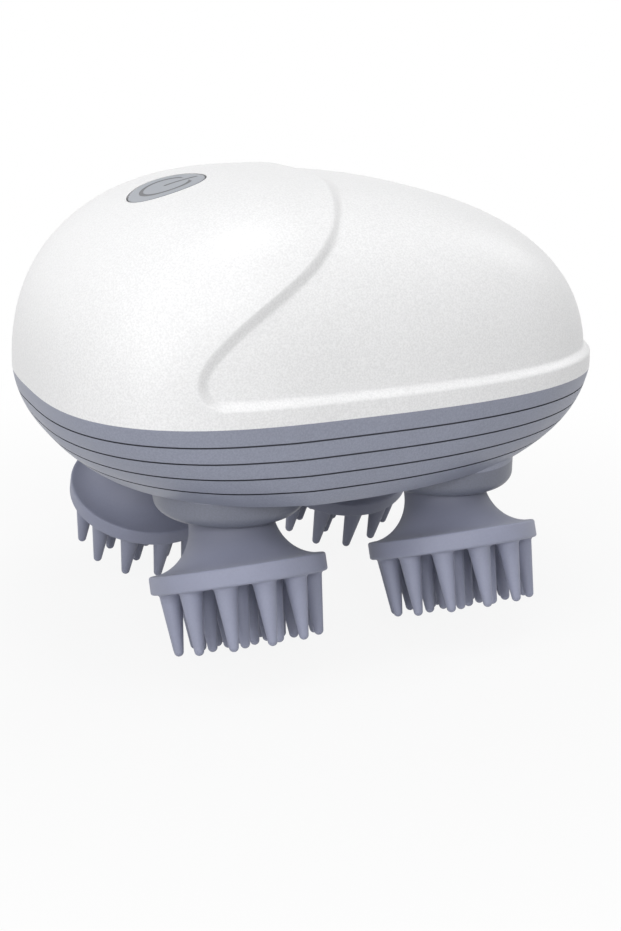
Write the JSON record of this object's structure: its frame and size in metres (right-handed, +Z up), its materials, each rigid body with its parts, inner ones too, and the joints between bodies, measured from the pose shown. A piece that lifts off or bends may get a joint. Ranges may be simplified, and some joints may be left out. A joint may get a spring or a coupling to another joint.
{
  "type": "electric scalp massager",
  "caption": "Egg-shaped hand-held scalp massager standing on tilted, motor-driven rotating heads of soft nubs, with a round power button in its stepped white hood.",
  "frame": {"origin": "on the ground plane, under the middle of the casing; the lowest nub tips touch z = 0", "axes": "+X from the nose (button end) to the tail, +Y to the rear pair of heads, +Z up"},
  "size_m": [0.122, 0.0944, 0.0949],
  "materials": {
    "white_shell": "satin white moulded plastic",
    "grey_shell": "fine-grained slate grey plastic",
    "button_plastic": "satin light grey plastic",
    "silicone": "soft matt slate grey silicone",
    "inner_plastic": "moulded dark engineering plastic",
    "gear_plastic": "natural acetal",
    "dark_plastic": "black plastic",
    "seal_rubber": "black silicone seal",
    "board": "green glass-fibre board",
    "cell": "blue shrink sleeve",
    "steel": "bright steel",
    "brass": "brass",
    "chrome": "nickel plate"
  },
  "bodies": {
    "casing": {"upper_case": "white_shell", "lower_case": "grey_shell", "case_gasket": "seal_rubber", "case_screws": "steel", "button_seal": "seal_rubber", "tact_switch": "dark_plastic", "button_board": "board", "button_board_screws": "steel", "main_board": "board", "board_parts": "dark_plastic", "battery_cell": "cell", "battery_cradle": "inner_plastic", "motor_can": "steel", "motor_end_caps": "inner_plastic", "motor_clamp": "inner_plastic", "clamp_screws": "steel", "worm_bushes": "brass", "gearbox_bridge_left": "inner_plastic", "gearbox_bridge_right": "inner_plastic", "bridge_screws": "steel", "upper_bushes": "brass", "lower_bushes": "brass", "shaft_seals": "seal_rubber", "charge_contacts": "brass", "charge_magnets": "chrome"},
    "rotor": {"drive_shaft": "steel", "worm_left": "brass", "worm_right": "brass", "rotor_stack": "steel"},
    "button": {"button_cap": "button_plastic"},
    "output_left_front": {"output_shaft_left_front": "steel", "drive_hub_left_front": "inner_plastic", "worm_wheel_left_front": "gear_plastic"},
    "head_left_front": {"massage_head_left_front": "silicone", "head_core_left_front": "inner_plastic"},
    "output_left_rear": {"output_shaft_left_rear": "steel", "drive_hub_left_rear": "inner_plastic", "worm_wheel_left_rear": "gear_plastic"},
    "head_left_rear": {"massage_head_left_rear": "silicone", "head_core_left_rear": "inner_plastic"},
    "output_right_front": {"output_shaft_right_front": "steel", "drive_hub_right_front": "inner_plastic", "worm_wheel_right_front": "gear_plastic"},
    "head_right_front": {"massage_head_right_front": "silicone", "head_core_right_front": "inner_plastic"},
    "output_right_rear": {"output_shaft_right_rear": "steel", "drive_hub_right_rear": "inner_plastic", "worm_wheel_right_rear": "gear_plastic"},
    "head_right_rear": {"massage_head_right_rear": "silicone", "head_core_right_rear": "inner_plastic"}
  },
  "joints": [
    {"name": "motor_spin", "type": "hinge", "parent": "casing", "child": "rotor", "pos_m": [-0.0026, 0, 0.0489], "axis": [1, 0, 0], "continuous": true},
    {"name": "output_spin_left_front", "type": "hinge", "parent": "casing", "child": "output_left_front", "pos_m": [-0.02695, -0.0288, 0.0168], "axis": [0, -0.3762, -0.9265], "continuous": true},
    {"name": "head_pull_left_front", "type": "slide", "parent": "output_left_front", "child": "head_left_front", "axis": [0, -0.3762, -0.9265], "range_m": [0, 0.02]},
    {"name": "output_spin_left_rear", "type": "hinge", "parent": "casing", "child": "output_left_rear", "pos_m": [-0.02695, 0.0288, 0.0168], "axis": [0, 0.3762, -0.9265], "continuous": true},
    {"name": "head_pull_left_rear", "type": "slide", "parent": "output_left_rear", "child": "head_left_rear", "axis": [0, 0.3762, -0.9265], "range_m": [0, 0.02]},
    {"name": "output_spin_right_front", "type": "hinge", "parent": "casing", "child": "output_right_front", "pos_m": [0.02175, -0.0288, 0.0168], "axis": [0, -0.3762, -0.9265], "continuous": true},
    {"name": "head_pull_right_front", "type": "slide", "parent": "output_right_front", "child": "head_right_front", "axis": [0, -0.3762, -0.9265], "range_m": [0, 0.02]},
    {"name": "output_spin_right_rear", "type": "hinge", "parent": "casing", "child": "output_right_rear", "pos_m": [0.02175, 0.0288, 0.0168], "axis": [0, 0.3762, -0.9265], "continuous": true},
    {"name": "head_pull_right_rear", "type": "slide", "parent": "output_right_rear", "child": "head_right_rear", "axis": [0, 0.3762, -0.9265], "range_m": [0, 0.02]},
    {"name": "button_press", "type": "slide", "parent": "casing", "child": "button", "axis": [0.2823, 0, -0.9593], "range_m": [0, 0.0006], "stiffness_N_per_m": 1500, "springref_m": -0.0006}
  ],
  "couplings": [
    {"joint": "output_spin_left_front", "follows": "motor_spin", "ratio": -0.038462},
    {"joint": "output_spin_left_rear", "follows": "motor_spin", "ratio": 0.038462},
    {"joint": "output_spin_right_front", "follows": "motor_spin", "ratio": 0.038462},
    {"joint": "output_spin_right_rear", "follows": "motor_spin", "ratio": -0.038462}
  ]
}
